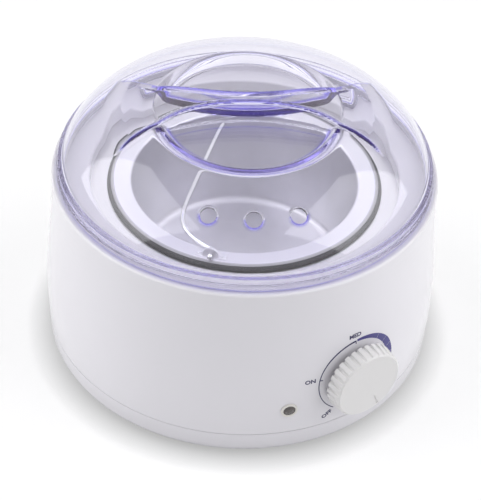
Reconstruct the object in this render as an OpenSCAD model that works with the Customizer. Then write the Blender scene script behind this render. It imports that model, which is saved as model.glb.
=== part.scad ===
// Electric wax warmer: a clear lid over a lift-out pot, which hangs in a heated well inside a round housing.
// The origin is on the body's axis at table level, +Z is up and the control knob is at the front, on -Y.

/* [Body] */
// Widest radius of the body
belly_r = 92.2; // [91.5:0.1:95]
// Height of the widest place
belly_z = 28; // [24:0.5:34]
// Radius of the body at its top edge
top_r = 88.2; // [88:0.1:90]
// Height of the top edge, which the lid rests on
body_h = 94.5; // [92:0.5:99]
// Height of the seam between the base pan and the housing
seam_z = 14; // [13.5:0.5:15.5]
// Gap that shows at the seam
seam_gap = 0.3; // [0.2:0.1:0.5]
// Rounding of the base pan's lower corner
base_corner = 5; // [4:0.5:6]
// Wall of the housing and of the base pan
wall = 2.5; // [2.2:0.1:2.8]
// Depth of the deck below the top edge
deck_drop = 3.5; // [3:0.1:4.2]
// Radius of the round opening in the deck
deck_r = 70.4; // [69.5:0.1:72]
// How far a rubber foot stands out below the base pan
foot_h = 1.3; // [1:0.1:2.5]
// Radius of a rubber foot
foot_r = 7; // [5:0.5:8]

/* [Pot] */
// Inner radius of the pot at its mouth
pot_r = 51.6; // [50.5:0.1:52.4]
// Depth of the pot
pot_depth = 51.5; // [46:0.5:54]
// How much narrower the pot is at its floor
pot_taper = 3; // [1:0.5:5]
// Sheet thickness of the pot
pot_wall = 1; // [0.8:0.1:1.2]
// Width of the flat flange round the mouth
flange_w = 7.8; // [7.4:0.1:8]
// Width of the flange's turned-down edge
curl_w = 3.4; // [2.8:0.1:3.8]
// Height of the flange's turned-down edge
curl_h = 2.2; // [1.8:0.1:2.6]
// Direction of the bail's pivot line, from +X
bail_turn = 41; // [0:1:90]
// Diameter of the bail's wire
bail_wire = 2; // [1.6:0.1:2.4]
// How far the bail's bow stands out from its pivot line
bail_rise = 20; // [14:0.5:23]

/* [Heating] */
// Gap between the pot and the well
well_gap = 1.9; // [1.5:0.1:2.2]
// Sheet thickness of the well
well_wall = 1; // [0.8:0.1:1.2]
// Height of the heater band
band_h = 28; // [20:1:30]
// Thickness of the heater band
band_t = 2; // [1.6:0.1:2.4]
// Thickness of the insulation
insulation_t = 5.5; // [4:0.5:6]
// Thickness of the heat shield
shield_t = 0.6; // [0.5:0.1:0.9]

/* [Lid] */
// Height of the lid's top above the body's top edge
lid_rise = 39; // [37:0.5:42]
// Wall of the lid
lid_wall = 2.2; // [1.8:0.1:2.6]
// Radius of the lid's rim
lid_rim_r = 86; // [85.6:0.1:86.8]
// Direction of the handle, from +X
lid_turn = -32; // [-90:1:90]
// Width of the handle at its middle
handle_w = 7.9; // [6.8:0.1:9.4]
// Radius of the handle's waisted sides
handle_bow = 84; // [76:1:100]
// Depth of the finger dish below the handle's top
dish_depth = 10; // [8:0.5:12]
// Radius of the finger dish at its floor
dish_r = 40.5; // [37:0.5:42]
// Radius of a vent hole
vent_r = 3.5; // [2.5:0.1:4]
// Distance from the lid's axis to a vent hole
vent_ring_r = 68; // [66.5:0.5:70]
// Angle between two vent holes
vent_step = 16.3; // [12:0.1:24]

/* [Controls] */
// Height of the knob's axis
knob_z = 39; // [37:0.5:42]
// Radius of the knob at its back
knob_r = 17.5; // [16:0.1:18.4]
// Length of the knob
knob_l = 7.5; // [7:0.1:11]
// Number of flutes round the knob
flutes = 30; // [18:1:36]
// Setting shown by the knob's mark, clockwise from the top
knob_mark = 157; // [0:1:359]
// Radius of the thermostat's shaft
shaft_r = 3; // [2.6:0.1:3.2]
// Angle from the knob to the pilot lamp
lamp_turn = 20.5; // [18:0.5:30]
// Height of the pilot lamp
lamp_z = 28.5; // [27:0.5:34]
// Radius of the pilot lamp's lens
lens_r = 2.7; // [2.2:0.1:3.2]
// Height of the cord inlet
inlet_z = 26; // [24:0.5:34]
// Radius of the cord inlet's bore
inlet_r = 3.4; // [2.8:0.1:4]

/* [Fits] */
// Gap between parts that lift off each other
lift_gap = 0.3; // [0.2:0.05:0.4]
// Radial gap of the shaft and of the bail's pivots
run_gap = 0.08; // [0.04:0.01:0.1]
// Gap between parts that are fixed together
fit_gap = 0.1; // [0.05:0.01:0.15]

/* [Hidden] */

$fn = 96;
arc_steps = 24;          // stretches that a round outline is divided into
cut = 1;                 // how far a cutting shape runs past the face that it opens

// Places of the main pieces
deck_z = body_h - deck_drop;
seat_r = lid_rim_r - 1.9;                       // wall that the lid's lip drops inside
pan_floor = foot_h + wall;
well_top = deck_z - 6;                          // top of the well's flange
well_sheet = 0.8;
pot_top = well_top + lift_gap + curl_h;
pot_floor = pot_top - pot_depth;                // inner face of the pot's floor
pot_out_r = pot_r + pot_wall;
well_r = pot_out_r + well_gap;
well_out_r = well_r + well_wall;
well_floor = pot_floor - pot_wall - 1.5;        // inner face of the well's floor
well_under = well_floor - well_wall;
well_corner = 5;
well_flange_r = deck_r + 8.6;

// Heater
band_r = well_out_r + fit_gap;
band_z = well_floor + well_corner + 3.5;
band_gap = 14;                                  // angle left open between the band's ends
tail_turn = band_gap / 2 + 4;                   // angle from the open side's middle to a heater tail
tail_low = band_z - 5.2;
heater_turn = 90;                               // direction of the band's open side
strap_t = 0.6;
strap_h = 8;
strap_r = band_r + band_t + fit_gap;
strap_z = band_z + (band_h - strap_h) / 2;
ear_reach = 6;                                  // how far a strap's ear stands out
ear_place = 2.4;                                // half the distance between the ears
clamp_screw_x = strap_r + ear_reach / 2 + 0.4;
wool_r = strap_r + strap_t + 0.9;
wool_z = band_z - 2;
wool_h = band_h + 4;
wool_gap = 24;                                  // angle left open for the strap's ears
shield_r = wool_r + insulation_t + 0.7;
shield_z = seam_z + 4;
shield_h = wool_z + wool_h + 3 - shield_z;
lug_w = 12;
lug_r = shield_r + 6.4;                         // circle of the shield's screws

// Screws: [shank radius, head radius, head height]
m2 = [0.7, 0.9, 1];
m3 = [1.45, 2.8, 1.8];
m4 = [1.95, 3.4, 2.4];
well_screw_r = deck_r + 4.6;
well_boss_r = 3.5;
well_screw_turns = [0, 90, 180, 270];
base_boss_r = 3.6;
base_post_r = 4.8;
base_screw_turns = [45, 135, 225, 315];
post_top = seam_z + 5.7;
base_screw_r = body_r(post_top) - wall - base_post_r - 2.2;
screw_seat = foot_h + 9;
shield_post_turns = [22, 112, 202, 292];
shield_post_r = 3.6;
foot_ring_r = belly_r - 28.2;
foot_stem_r = 2.4;
foot_turns = [45, 135, 225, 315];

// Controls
front_r = body_r(knob_z);
lamp_r = body_r(lamp_z);
inlet_wall_r = body_r(inlet_z);
knob_gap = 1.5;                                 // gap between the wall and the knob's back
knob_back = front_r + knob_gap;
boss_start = wall + 2.4 - knob_gap;             // the knob's boss starts clear of the collar's end
knob_front_r = knob_r - 0.7;
knob_shell = 2;
knob_edge = 0.8;                                // bevel round the knob's face
flute_r = 0.8;
mark_w = 0.8;
mark_l = 6.2;
collar_r = 5;                                   // threaded collar of the thermostat
stat_w = 24;
stat_h = 22;
stat_t = 12;
stat_back = front_r - wall - 1.5 - stat_t;      // distance of the thermostat's back from the body's axis
stat_foot_z = knob_z - stat_h / 2;
stat_tab_y = -(stat_back + 3.4);
stat_tab_z = stat_foot_z - 6.4;
nut_r = 7.6;
nut_t = 2;
nut_seat = front_r - 0.4;                       // flat face on the wall under the nut
shaft_flat = 0.8;                               // how deep the shaft's flat is cut
phial_r = 2.4;
phial_l = 46;
phial_turn = 24;
phial_z = well_under - phial_r - 0.2;
phial_way = [cos(phial_turn), sin(phial_turn), 0];
phial_end = (phial_l / 2 + 4 * fit_gap) * phial_way + 8 * [-phial_way.y, phial_way.x, 0] + [0, 0, phial_z];
fuse_r = 2;
fuse_l = 14;
fuse_place = 26;
clip_t = 0.5;

// Terminal block and earth point
terminal_turn = 66;
terminal_r = belly_r - 19.2;
terminal_z = pan_floor + 2.5;
block_screw_places = [-4.75, 4.75];
earth_turn = 128;
earth_r = belly_r - 22.2;
earth_z = pan_floor + 5;

gland_flange_t = 2.4;
gland_nose = 6.3;                               // how far the cord inlet's nose stands out of its flange
// Leads
lead_r = 1.1;
lamp_lead_r = 0.8;
lamp_dir = -90 - lamp_turn;
lamp_back = lamp_r - wall - 9.6;

// Bail
ear_t = 1.2;
ear_r = pot_r + 5.4;                            // inner face of an ear
ear_w = 7;
pivot_z = pot_top + 0.6 + bail_wire / 2;
bail_end = ear_r + ear_t + 2;
bail_half = ear_r - 2.6;                        // where the bow leaves its pivot pins
rivet_place = 5;
rivet_r = pot_r + 4.4;
rivet_shank = 0.8;

// Lid
lid_z = body_h + lift_gap;                      // lower face of the rim
lid_top = body_h + lid_rise;
rim_h = 3.4;
rim_step_h = 3.2;
rim_step_r = lid_rim_r - 0.8;
dome_r = lid_rim_r - 1.3;
dome_z = lid_z + 2.6;
handle_rise = lid_top - dome_z;
dome_rise = handle_rise - 5;
dome_flat = 1.48;                               // how the dome flattens towards its top
dome_full = 4.24;                               // how full the dome is near its rim
lip_h = 3;
lip_r = seat_r - lift_gap;
handle_reach = 67;                              // radius that the handle's sides run out to
crown_drop = 5.6;                               // fall of the handle's top at the dish's lip
fin_rise = 0.7;                                 // height of the handle's ends over the dome
dish_lip_r = dish_r + 5;
dish_z = lid_top - dish_depth;
vent_z = dome_height(vent_ring_r);

// Radius of the body at height z
function body_r(z) = z > belly_z
    ? top_r + (belly_r - top_r) * (1 + cos(180 * (z - belly_z) / (body_h - belly_z))) / 2
    : belly_r - 1.2 * pow((belly_z - z) / belly_z, 2);

// Points of an arc about c from angle a to angle b, with radii rx and ry
function arc(c, rx, ry, a, b, n = 8) =
    [for (i = [0 : n]) let (t = a + (b - a) * i / n) c + [rx * cos(t), ry * sin(t)]];

// Body wall from height a to height b, moved in by the given inset
function wall_line(a, b, inset) =
    [for (i = [0 : arc_steps]) let (z = a + (b - a) * i / arc_steps) [body_r(z) - inset, z]];

// Half outline of a dome: full near its rim and flatter over its top
function dome_line(r, z, rise, flat, full) =
    [for (i = [0 : arc_steps]) let (t = 90 * i / arc_steps)
        [r * pow(cos(t), 2 / full), z + rise * pow(sin(t), 2 / flat)]];

// Height of the dome at radius r
function dome_height(r) = dome_z + dome_rise * pow(1 - pow(r / dome_r, dome_full), 1 / dome_flat);

// Height of the handle's top at radius r
function crown(r) = max(lid_top - crown_drop * pow(r / dish_lip_r, 4), dome_height(r) + fin_rise);

// A tube of radius r along the points p
function unit(v) = v / norm(v);
function heading(p, i) = unit(p[min(i + 1, len(p) - 1)] - p[max(i - 1, 0)]);
function square_to(v, t) = unit(v - (v * t) * t);
function sides_of(p, i = 0, out = []) = i == len(p) ? out :
    let (t = heading(p, i), guide = i > 0 ? out[i - 1] : abs(t.z) < 0.8 ? [0, 0, 1] : [1, 0, 0])
    sides_of(p, i + 1, concat(out, [square_to(guide, t)]));

module tube(p, r, n = 8) {
    side = sides_of(p);
    last = (len(p) - 1) * n;
    points = [for (i = [0 : len(p) - 1]) let (t = heading(p, i)) for (k = [0 : n - 1])
        p[i] + r * (cos(360 * k / n) * side[i] + sin(360 * k / n) * cross(t, side[i]))];
    skin = [for (i = [0 : len(p) - 2]) for (k = [0 : n - 1]) let (a = i * n + k, b = i * n + (k + 1) % n)
        each [[a, a + n, b + n], [a, b + n, b]]];
    polyhedron(points, concat([[for (k = [0 : n - 1]) k]],
        [[for (k = [n - 1 : -1 : 0]) last + k]], skin));
}

// Smooth line through the points p, with n steps from each point to the next
function between(a, b, c, d, t) = 0.5 * (2 * b + (c - a) * t + (2 * a - 5 * b + 4 * c - d) * t * t
    + (3 * b - a - 3 * c + d) * t * t * t);
function smooth(p, n = 4) = concat([for (i = [0 : len(p) - 2]) for (k = [0 : n - 1])
    between(p[max(i - 1, 0)], p[i], p[i + 1], p[min(i + 2, len(p) - 1)], k / n)], [p[len(p) - 1]]);

// A point at radius r, direction a and height z
function around(r, a, z) = [r * cos(a), r * sin(a), z];

module ring(r_out, r_in, h, z = 0) {
    translate([0, 0, z]) difference() {
        cylinder(r = r_out, h = h);
        translate([0, 0, -cut]) cylinder(r = r_in, h = h + 2 * cut);
    }
}

// Copies of a shape round the axis, at radius r and the directions in turns
module round_at(r, turns) {
    for (a = turns) rotate([0, 0, a]) translate([r, 0, 0]) children();
}

// Turns a shape so that its +Z points out of the wall at direction a from the front, at height z
module out_of_wall(z, a = 0) {
    rotate([0, 0, a]) translate([0, 0, z]) rotate([90, 0, 0]) children();
}

// Screw with its head's seat at z = 0 and its shank upwards
module screw(size, length) {
    difference() {
        union() {
            cylinder(r = size[0], h = length, $fn = 24);
            translate([0, 0, -size[2]]) cylinder(r = size[1], h = size[2], $fn = 32);
        }
        for (a = [0, 90]) rotate([0, 0, a])
            translate([-size[1] * 0.6, -0.4, -size[2] - cut]) cube([size[1] * 1.2, 0.8, cut + 0.9]);
    }
}

module housing() color("white") difference() {
    union() {
        rotate_extrude($fn = 180) polygon(concat(
            wall_line(seam_z + seam_gap, body_h - 1.2, 0),
            arc([top_r - 1.2, body_h - 1.2], 1.2, 1.2, 15, 90, 5),
            [[seat_r, body_h], [seat_r, deck_z + 0.5], [deck_r + 1, deck_z]],
            arc([deck_r + 1, deck_z - 1], 1, 1, 100, 180, 4),
            [[deck_r, well_top + fit_gap], [deck_r + 2, well_top + fit_gap], [deck_r + 2, deck_z - wall]],
            wall_line(deck_z - wall, seam_z + seam_gap, wall)));
        round_at(well_screw_r, well_screw_turns) translate([0, 0, well_top])
            cylinder(r = well_boss_r, h = deck_z - wall / 2 - well_top, $fn = 32);
        round_at(base_screw_r, base_screw_turns) {
            translate([0, 0, post_top + fit_gap]) cylinder(r = base_boss_r, h = 26, $fn = 32);
            translate([0, -1.2, post_top + fit_gap])
                cube([body_r(post_top) - wall / 2 - base_screw_r - 0.6, 2.4, 26]);
        }
        out_of_wall(knob_z) translate([0, 0, front_r - wall - 1.5])
            cylinder(r = collar_r + 4, h = 3, $fn = 48);
    }
    round_at(well_screw_r, well_screw_turns) translate([0, 0, well_top - cut])
        cylinder(r = m3[0] + fit_gap / 2, h = deck_z - wall - well_top + cut, $fn = 24);
    round_at(base_screw_r, base_screw_turns) translate([0, 0, post_top - cut])
        cylinder(r = m4[0] + fit_gap / 2, h = 20, $fn = 24);
    out_of_wall(knob_z) translate([0, 0, front_r - wall - 2.5])
        cylinder(r = collar_r + fit_gap, h = wall + 5, $fn = 48);
    out_of_wall(knob_z) translate([0, 0, nut_seat]) cylinder(r = nut_r + 0.6, h = 5, $fn = 48);
    out_of_wall(lamp_z, -lamp_turn) translate([0, 0, lamp_r - wall - 2])
        cylinder(r = lens_r + 0.6 + fit_gap, h = wall + 5, $fn = 48);
    out_of_wall(inlet_z, 180) translate([0, 0, inlet_wall_r - wall - 2])
        cylinder(r = inlet_r + 2.6 + fit_gap, h = wall + 5, $fn = 48);
}

module base_pan() color("white") difference() {
    union() {
        rotate_extrude($fn = 180) polygon(concat(
            [[0, foot_h]],
            arc([body_r(foot_h + base_corner) - base_corner, foot_h + base_corner],
                base_corner, base_corner, -90, 0, 8),
            wall_line(foot_h + base_corner, seam_z, 0),
            [[body_r(seam_z) - wall - fit_gap, seam_z],
             [body_r(seam_z) - wall - fit_gap, seam_z + 3.5],
             [body_r(seam_z) - wall - 2, seam_z + 3.5],
             [body_r(seam_z) - wall - 2, pan_floor + 4], [body_r(seam_z) - wall - 6, pan_floor],
             [0, pan_floor]]));
        round_at(base_screw_r, base_screw_turns) translate([0, 0, foot_h])
            cylinder(r = base_post_r, h = post_top - foot_h, $fn = 32);
        round_at(lug_r, shield_post_turns) translate([0, 0, foot_h])
            cylinder(r = shield_post_r, h = shield_z - foot_h, $fn = 32);
        terminal_place() translate([-8, -4, foot_h]) cube([16, 8, terminal_z - foot_h]);
        earth_place() translate([0, 0, foot_h]) cylinder(r = 3.6, h = earth_z - foot_h, $fn = 32);
    }
    round_at(base_screw_r, base_screw_turns) {
        translate([0, 0, -cut]) cylinder(r = m4[1] + 0.2, h = screw_seat + cut, $fn = 32);
        cylinder(r = m4[0] + 0.15, h = post_top + cut, $fn = 24);
    }
    round_at(lug_r, shield_post_turns) translate([0, 0, shield_z - 9])
        cylinder(r = m3[0] + fit_gap / 2, h = 9 + cut, $fn = 24);
    round_at(foot_ring_r, foot_turns) cylinder(r = foot_stem_r + fit_gap, h = pan_floor + cut, $fn = 24);
    for (x = block_screw_places) terminal_place() translate([x, 0, terminal_z - 4])
        cylinder(r = m2[0] + fit_gap / 2, h = 4 + cut, $fn = 24);
    earth_place() translate([0, 0, earth_z - 6]) cylinder(r = m3[0] + fit_gap / 2, h = 6 + cut, $fn = 24);
    for (a = [0 : 60 : 300]) rotate([0, 0, a]) for (r = [18 : 8 : 34])
        translate([r, 0, foot_h - cut]) cylinder(r = 2.2, h = wall + 2 * cut, $fn = 24);
}

module base_screws() color("silver") round_at(base_screw_r, base_screw_turns)
    translate([0, 0, screw_seat]) screw(m4, 24);

module feet() color("dimgray") round_at(foot_ring_r, foot_turns) {
    cylinder(r = foot_r, h = foot_h, $fn = 48);
    cylinder(r = foot_stem_r, h = pan_floor + 1.6, $fn = 24);
    translate([0, 0, pan_floor + fit_gap])
        cylinder(r1 = foot_stem_r + 1, r2 = foot_stem_r, h = 1.6, $fn = 24);
}

module heating_well() color("silver") difference() {
    rotate_extrude($fn = 144) polygon(concat(
        [[0, well_floor]],
        arc([well_r - well_corner, well_floor + well_corner], well_corner, well_corner, -90, 0, 6),
        arc([well_r + 2, well_top - 2], 2, 2, 180, 90, 4),
        [[well_flange_r, well_top], [well_flange_r, well_top - well_sheet]],
        arc([well_out_r + 2, well_top - well_sheet - 2], 2, 2, 90, 180, 4),
        arc([well_r - well_corner, well_floor + well_corner],
            well_corner + well_wall, well_corner + well_wall, 0, -90, 6),
        [[0, well_under]]));
    round_at(well_screw_r, well_screw_turns) translate([0, 0, well_top - well_sheet - cut])
        cylinder(r = m3[0] + 0.2, h = well_sheet + 2 * cut, $fn = 24);
}

module well_screws() color("silver") round_at(well_screw_r, well_screw_turns)
    translate([0, 0, well_top - well_sheet]) screw(m3, 4);

// Ring with an open stretch at the heater's direction
module open_ring(r_in, t, z, h, gap) {
    rotate([0, 0, heater_turn + gap / 2]) translate([0, 0, z])
        rotate_extrude(angle = 360 - gap, $fn = 120) translate([r_in, 0]) square([t, h]);
}

module heater_band() color("burlywood") {
    open_ring(band_r, band_t, band_z, band_h, band_gap);
    for (s = [-1, 1]) rotate([0, 0, heater_turn + s * tail_turn])
        translate([band_r + 0.2, -1.5, band_z - 5]) cube([1.2, 3, 6]);
}

module band_clamp() color("silver") difference() {
    union() {
        open_ring(strap_r, strap_t, strap_z, strap_h, 2 * asin(ear_place / strap_r));
        rotate([0, 0, heater_turn]) for (s = [-1, 1])
            translate([strap_r - 0.05, s * (ear_place + strap_t / 2) - strap_t / 2, strap_z])
                cube([ear_reach, strap_t, strap_h]);
    }
    rotate([0, 0, heater_turn]) translate([clamp_screw_x, 0, strap_z + strap_h / 2]) rotate([90, 0, 0])
        cylinder(r = m3[0] + 0.1, h = 12, center = true, $fn = 24);
}

module clamp_screw() color("silver") rotate([0, 0, heater_turn])
    translate([clamp_screw_x, ear_place + strap_t + fit_gap, strap_z + strap_h / 2]) rotate([90, 0, 0]) {
        screw([m3[0], 2.4, 1.6], 8);
        translate([0, 0, 2 * (ear_place + strap_t + fit_gap)]) difference() {
            cylinder(r = 2.7, h = 1.8, $fn = 6);
            translate([0, 0, -cut]) cylinder(r = m3[0] + 0.02, h = 4, $fn = 24);
        }
    }

module insulation() color("khaki") open_ring(wool_r, insulation_t, wool_z, wool_h, wool_gap);

module heat_shield() color("silver") difference() {
    union() {
        ring(shield_r + shield_t, shield_r, shield_h, shield_z, $fn = 120);
        for (a = shield_post_turns) rotate([0, 0, a]) intersection() {
            translate([shield_r + shield_t / 2, -lug_w / 2, shield_z])
                cube([lug_r - shield_r + 4, lug_w, 0.8]);
            ring(lug_r + 4, shield_r + shield_t / 2, 4, shield_z - cut);
        }
    }
    round_at(lug_r, shield_post_turns) translate([0, 0, shield_z - cut])
        cylinder(r = m3[0] + 0.2, h = 4, $fn = 24);
}

module shield_screws() color("silver") round_at(lug_r, shield_post_turns)
    translate([0, 0, shield_z + 0.8]) mirror([0, 0, 1]) screw(m3, 8);

module thermostat() color("whitesmoke") out_of_wall(knob_z) difference() {
    union() {
        translate([-stat_w / 2, -stat_h / 2, stat_back]) cube([stat_w, stat_h, stat_t - fit_gap]);
        translate([0, 0, stat_back + stat_t - cut]) cylinder(r = collar_r, h = cut + wall + 4.2, $fn = 48);
        for (x = [-7, 7]) translate([x - 2.4, -stat_h / 2 - 6, stat_back + 3]) cube([4.8, 7, 0.8]);
    }
    translate([0, 0, stat_back + 4]) cylinder(r = shaft_r + run_gap, h = 40, $fn = 48);
}

module thermostat_nut() color("silver") out_of_wall(knob_z) translate([0, 0, nut_seat + fit_gap])
    difference() {
        cylinder(r = nut_r, h = nut_t, $fn = 6);
        translate([0, 0, -cut]) cylinder(r = collar_r + 0.04, h = nut_t + 2 * cut, $fn = 48);
    }

module thermostat_shaft() color("gainsboro") out_of_wall(knob_z) difference() {
    translate([0, 0, stat_back + 4.5]) cylinder(r = shaft_r, h = knob_back + knob_l - knob_shell - 0.5
        - stat_back - 4.5, $fn = 48);
    translate([-shaft_r, shaft_r - shaft_flat, front_r + wall + 0.5]) cube([2 * shaft_r, 4, 20]);
}

module knob() color("snow") out_of_wall(knob_z) translate([0, 0, knob_back]) rotate([0, 0, -knob_mark])
    difference() {
        union() {
            difference() {
                union() {
                    cylinder(r1 = knob_r, r2 = knob_front_r, h = knob_l - knob_edge, $fn = 180);
                    translate([0, 0, knob_l - knob_edge])
                        cylinder(r1 = knob_front_r, r2 = knob_front_r - knob_edge, h = knob_edge, $fn = 180);
                }
                translate([0, 0, -cut]) cylinder(r = knob_r - knob_shell - 1, h = knob_l - knob_shell + cut);
            }
            translate([0, 0, boss_start])
                cylinder(r = shaft_r + 2.6, h = knob_l - knob_shell - boss_start + 0.5, $fn = 48);
        }
        // the shaft's hole, with a flat that matches the shaft's
        difference() {
            translate([0, 0, -cut])
                cylinder(r = shaft_r + fit_gap / 2, h = knob_l - knob_shell + cut, $fn = 48);
            rotate([0, 0, knob_mark]) translate([-5, shaft_r - shaft_flat + fit_gap / 2, -2 * cut])
                cube([10, 5, 20]);
        }
        for (k = [0 : flutes - 1]) rotate([0, 0, 360 * k / flutes + 180 / flutes])
            translate([knob_front_r + 0.35, 0, -cut]) cylinder(r = flute_r, h = knob_l + 2 * cut, $fn = 32);
        translate([-mark_w / 2, knob_front_r - mark_l - 1.3, knob_l - 0.35]) cube([mark_w, mark_l, cut]);
    }

module phial_place() rotate([0, 0, phial_turn]) translate([0, 8, phial_z]) rotate([0, 90, 0]) children();
module sensor_phial() color("goldenrod") phial_place()
    cylinder(r = phial_r, h = phial_l, center = true, $fn = 32);

// Sheet strip that is bent round a rod of radius r and lies against the well's floor at both sides
module floor_clip(r, w) {
    translate([0, 0, -w / 2]) linear_extrude(w) difference() {
        union() {
            circle(r = r + fit_gap + clip_t, $fn = 32);
            translate([-(r + 0.2), -r - 4]) square([clip_t, 2 * r + 8]);
        }
        circle(r = r + fit_gap, $fn = 32);
        translate([-2 * r - 4 - r - 0.2, -2 * r]) square([2 * r + 4, 4 * r]);
    }
}
module phial_clip() color("silver") phial_place() floor_clip(phial_r, 9);

module fuse_body_place() rotate([0, 0, heater_turn]) translate([fuse_place, 0, well_under - fuse_r - 0.2])
    rotate([90, 0, 0]) rotate([0, 0, -90]) children();
module thermal_fuse() color("tan") fuse_body_place() {
    cylinder(r = fuse_r, h = fuse_l, center = true, $fn = 32);
    cylinder(r = 0.5, h = fuse_l + 8, center = true, $fn = 16);
}
module fuse_clip() color("silver") fuse_body_place() floor_clip(fuse_r, 6);

module capillary() color("goldenrod") tube(smooth([phial_end,
    phial_end + 3 * phial_way, [38, 12, 22], [46, -20, 15], [32, -52, 15.5],
    [14, -67, 15.5], [1, -stat_back - 4, 17], [0, -stat_back - 6, stat_foot_z - 0.2]], 4), 0.6, 6);

module lamp_holder() color("whitesmoke") out_of_wall(lamp_z, -lamp_turn) difference() {
    union() {
        translate([0, 0, lamp_r - wall - 9]) cylinder(r = lens_r + 0.6, h = wall + 9.3, $fn = 48);
        translate([0, 0, lamp_r + 0.05]) cylinder(r = lens_r + 1.1, h = 0.5, $fn = 48);
        translate([0, 0, lamp_r - wall - 2.6]) cylinder(r = lens_r + 2.2, h = 1.6, $fn = 6);
    }
    translate([0, 0, lamp_r - wall - 8]) cylinder(r = lens_r + fit_gap / 2, h = 40, $fn = 48);
}

module pilot_lens() color("dimgray") out_of_wall(lamp_z, -lamp_turn) difference() {
    translate([0, 0, lamp_r]) rotate_extrude($fn = 48) polygon(concat(
        [[0, -6], [lens_r, -6]], arc([0, 0], lens_r, 1, 0, 90, 6)));
    translate([0, 0, lamp_r - 7]) cylinder(r = lens_r - 0.9, h = 5.5, $fn = 32);
}

module neon_bulb() color("orange") out_of_wall(lamp_z, -lamp_turn) translate([0, 0, lamp_r - wall - 8])
    cylinder(r = lens_r - 1.2, h = 7.4, $fn = 24);

// Terminal block and earth point, on the base pan near the cord inlet
module terminal_place() rotate([0, 0, terminal_turn]) translate([terminal_r, 0, 0])
    rotate([0, 0, 90]) children();
module earth_place() rotate([0, 0, earth_turn]) translate([earth_r, 0, 0]) children();

module terminal_block() color("ivory") terminal_place() difference() {
    union() {
        translate([-14, -3.5, terminal_z]) cube([28, 7, 3]);
        for (x = [-9.5, 0, 9.5]) translate([x - 3.8, -5, terminal_z]) cube([7.6, 10, 8]);
    }
    for (x = [-9.5, 0, 9.5]) translate([x, 0, terminal_z + 4]) {
        rotate([90, 0, 0]) cylinder(r = 1.6, h = 12, center = true, $fn = 24);
        for (y = [-2.6, 2.6]) translate([0, y, 0]) cylinder(r = 1.3, h = 6, $fn = 24);
    }
    for (x = block_screw_places) translate([x, 0, terminal_z - cut])
        cylinder(r = m2[0] + 0.1, h = 6, $fn = 24);
}

module block_screws() color("silver") terminal_place() for (x = block_screw_places)
    translate([x, 0, terminal_z + 3]) mirror([0, 0, 1]) screw(m2, 6);

module terminal_screws() color("goldenrod") terminal_place() for (x = [-9.5, 0, 9.5]) for (y = [-2.6, 2.6])
    translate([x, y, terminal_z + 5.6]) difference() {
        cylinder(r = 1.25, h = 2, $fn = 24);
        translate([-2, -0.25, 1.4]) cube([4, 0.5, cut]);
    }

module earth_tag() color("gold") earth_place() difference() {
    union() {
        translate([0, 0, earth_z]) cylinder(r = 3.4, h = 0.6, $fn = 32);
        translate([-12, -1.6, earth_z]) cube([10, 3.2, 0.6]);
    }
    translate([0, 0, earth_z - cut]) cylinder(r = m3[0] + 0.1, h = 3, $fn = 24);
}
module earth_screw() color("gold") earth_place()
    translate([0, 0, earth_z + 0.6]) mirror([0, 0, 1]) screw(m3, 5);

// Insulated leads inside the base
function port(k, out) = around(terminal_r + out, terminal_turn, terminal_z + 4)
    + 9.5 * k * [-sin(terminal_turn), cos(terminal_turn), 0];
function tail(s, z) = around(band_r + 0.8, heater_turn + s * tail_turn, z);
function fuse_end(s) = [s * (fuse_l / 2 + 4.4), fuse_place, well_under - fuse_r - 0.2];
HEATER_ROUTES = [
    [[7, stat_tab_y, stat_tab_z], [7, stat_tab_y, stat_tab_z - 5], [10, -62, 9], around(58, -50, 7),
        around(58, -20, 7), around(58, 10, 7.5), around(58, 40, 10), around(57, 68, 15), tail(-1, 23),
        tail(-1, tail_low)],
    [[-7, stat_tab_y, stat_tab_z], [-7, stat_tab_y, stat_tab_z - 5], [-4, -60, 10.5], around(54, -60, 8.5),
        around(54, -30, 7.5), around(54, 0, 7.5), around(54, 30, 9), around(59, 54, 12), port(-1, -7),
        port(-1, -4)],
    [port(0, -4), port(0, -8), around(52, 62, 12), [20, 32, 20], [15, 27, 28], fuse_end(1) + [1, 0, 0],
        fuse_end(1)],
    [fuse_end(-1), fuse_end(-1) - [1, 0, 0], [-15, 28, 27], [-14, 42, 16], around(56, 100, 14),
        tail(1, 22), tail(1, tail_low)]];
LAMP_ROUTES = [for (k = [0, 1]) [around(lamp_back, lamp_dir + 1.6 * k - 0.8, lamp_z),
    around(lamp_back - 2, lamp_dir + 1.6 * k - 0.8, lamp_z - 0.5), around(72 - 3 * k, lamp_dir, 13),
    around(60 - 3 * k, lamp_dir + 10, 5.8), around(50 - 3 * k, -80, 5), around(50 - 3 * k, -45, 5),
    around(50 - 3 * k, -10, 5), around(50 - 3 * k, 25, 5), around(56 - 3 * k, 46, 5.2),
    around(terminal_r + 1 - 2 * k, 51 - k, 5.6 + 2 * k), around(terminal_r + 8, 54 + 3 * k, 10.5 + 4 * k),
    port(k - 1, 9) + [0, 0, 3 * k], port(k - 1, 7), port(k - 1, 4)]];
EARTH_ROUTE = [port(1, -4), port(1, -8), around(earth_r - 10, 84, 11), around(earth_r - 8, 104, 9),
    around(earth_r - 6, 116, 10),
    around(earth_r - 2, 120, earth_z + 1.6), around(earth_r - 0.4, 122, earth_z + 1.6)];

module heater_leads() color("firebrick") for (p = HEATER_ROUTES) tube(smooth(p, 3), lead_r);
module lamp_leads() color("dimgray") for (p = LAMP_ROUTES) tube(smooth(p, 3), lamp_lead_r, 6);
module earth_lead() color("yellowgreen") tube(smooth(EARTH_ROUTE, 3), lead_r);

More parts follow.
